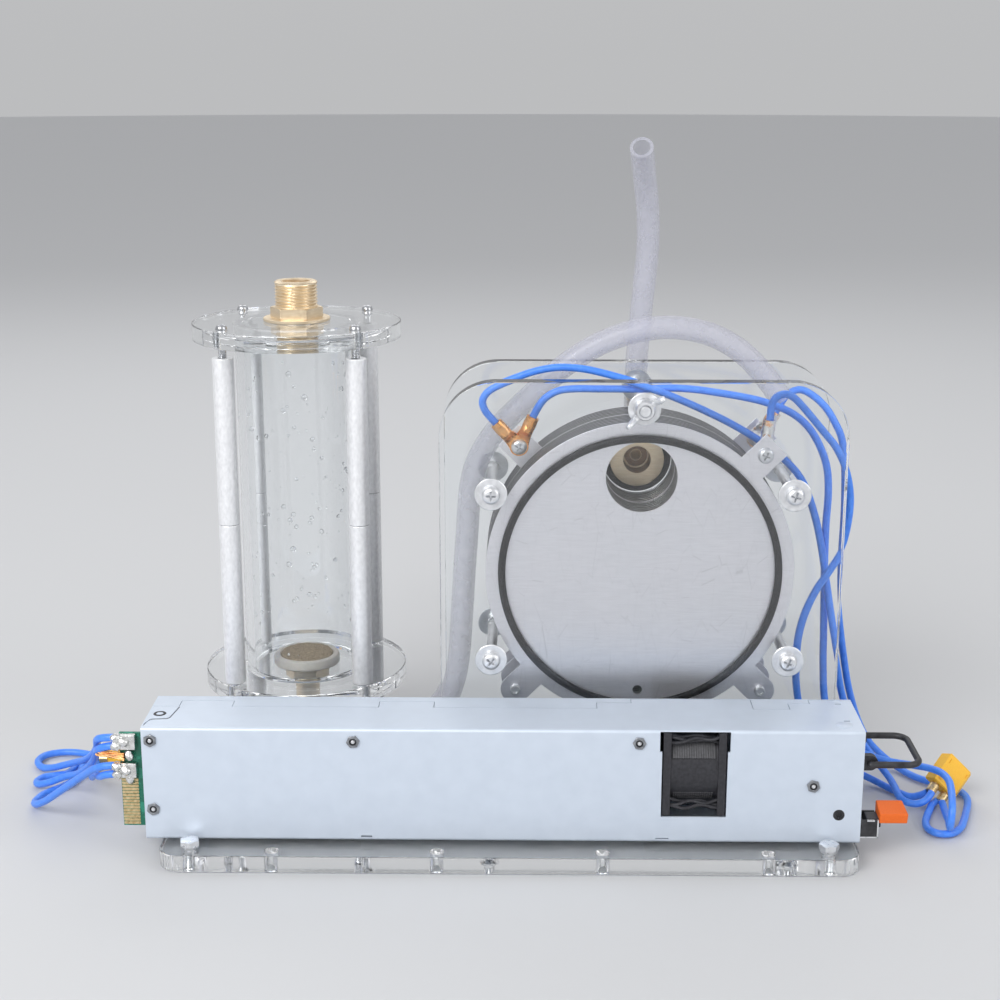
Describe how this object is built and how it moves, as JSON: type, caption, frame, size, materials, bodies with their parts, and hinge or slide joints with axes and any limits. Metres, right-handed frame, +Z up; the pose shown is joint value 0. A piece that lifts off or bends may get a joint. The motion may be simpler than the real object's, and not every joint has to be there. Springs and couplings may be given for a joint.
{
  "type": "hydrogen electrolyser",
  "caption": "Bench hydrogen electrolyser: round-plate dry cell between clear plates, bubbler column, server-type power supply and clear base, with hoses and leads.",
  "frame": {"origin": "centre of the base plate's underside, on the bench", "axes": "+Z up, +X to the right as seen from the front, +Y from the power supply towards the back"},
  "size_m": [0.4687, 0.18, 0.3154],
  "materials": {
    "clear_acrylic": "polished clear acrylic",
    "clear_hose": "clear soft vinyl",
    "plated_sheet": "zinc plated sheet, satin",
    "stainless": "brushed stainless sheet",
    "steel_fastener": "plated steel",
    "aluminium_rod": "turned aluminium",
    "brass": "machined brass",
    "copper_lug": "copper, partly tinned",
    "black_rubber": "matt",
    "foam_tape": "black foam tape",
    "black_plastic": "moulded",
    "black_steel": "black oxide",
    "orange_plastic": "moulded",
    "yellow_plastic": "moulded",
    "blue_silicone": "smooth silicone insulation",
    "green_board": "solder mask",
    "solder": "soldered copper block",
    "winding_tape": "taped winding",
    "capacitor_sleeve": "shrink sleeve",
    "ivory_plastic": "moulded",
    "sintered_stone": "sintered, porous"
  },
  "bodies": {
    "stand": {"base_plate": "clear_acrylic", "corner_bolts": "steel_fastener", "corner_nuts": "steel_fastener", "base_screws": "steel_fastener", "mounting_tape": "foam_tape", "supply_tray": "plated_sheet", "supply_cover": "plated_sheet", "case_screws": "steel_fastener", "circuit_board": "green_board", "output_tabs": "solder", "transformer": "winding_tape", "capacitors": "capacitor_sleeve", "heat_sink": "aluminium_rod", "fan_frame": "black_plastic", "mains_inlet": "black_plastic", "latch_bracket": "black_steel", "bubbler_legs": "aluminium_rod", "bubbler_bottom_disc": "clear_acrylic", "bubbler_inlet": "brass", "diffuser_cup": "ivory_plastic", "diffuser_stone": "sintered_stone", "tube_seals": "clear_hose", "bubbler_tube": "clear_acrylic", "lower_rods": "aluminium_rod", "upper_rods": "aluminium_rod", "bubbler_top_disc": "clear_acrylic", "disc_screws": "steel_fastener", "outlet_nipple": "brass", "cell_front_plate": "clear_acrylic", "cell_rear_plate": "clear_acrylic", "front_electrode": "stainless", "centre_electrode": "stainless", "rear_electrode": "stainless", "neutral_plates": "stainless", "cell_gaskets": "black_rubber", "end_seals": "black_rubber", "outlet_gasket": "black_rubber", "tie_bolts": "steel_fastener", "tie_washers": "steel_fastener", "tie_nuts": "steel_fastener", "terminal_screws": "steel_fastener", "terminal_nuts": "steel_fastener", "cable_lugs": "copper_lug", "gas_outlet": "brass", "outlet_hose": "clear_hose", "feed_hose": "clear_hose", "cell_lead_1": "blue_silicone", "cell_lead_2": "blue_silicone", "cell_lead_3": "blue_silicone", "cell_lead_4": "blue_silicone", "cell_connector": "yellow_plastic", "supply_lead_1": "blue_silicone", "supply_lead_2": "blue_silicone", "supply_lead_3": "blue_silicone", "supply_lead_4": "blue_silicone", "supply_connector": "yellow_plastic"},
    "fan": {"fan_rotor": "black_plastic"},
    "handle": {"pull_handle": "black_steel"},
    "latch": {"release_latch": "orange_plastic"},
    "wing": {"wing_nut": "steel_fastener"}
  },
  "joints": [
    {"name": "fan_spin", "type": "hinge", "parent": "stand", "child": "fan", "pos_m": [0.08275, -0.056, 0.0421], "axis": [1, 0, 0], "continuous": true},
    {"name": "handle_swing", "type": "hinge", "parent": "stand", "child": "handle", "pos_m": [0.16155, -0.056, 0.0462], "axis": [0, -1, 0], "range_deg": [0, 80]},
    {"name": "latch_press", "type": "hinge", "parent": "stand", "child": "latch", "pos_m": [0.16215, -0.0705, 0.0166], "axis": [0, 1, 0], "range_deg": [0, 8], "stiffness_Nm_per_rad": 0.05},
    {"name": "wing_turn", "type": "hinge", "parent": "stand", "child": "wing", "pos_m": [0.0605, -0.03, 0.198], "axis": [0, 1, 0], "continuous": true}
  ]
}
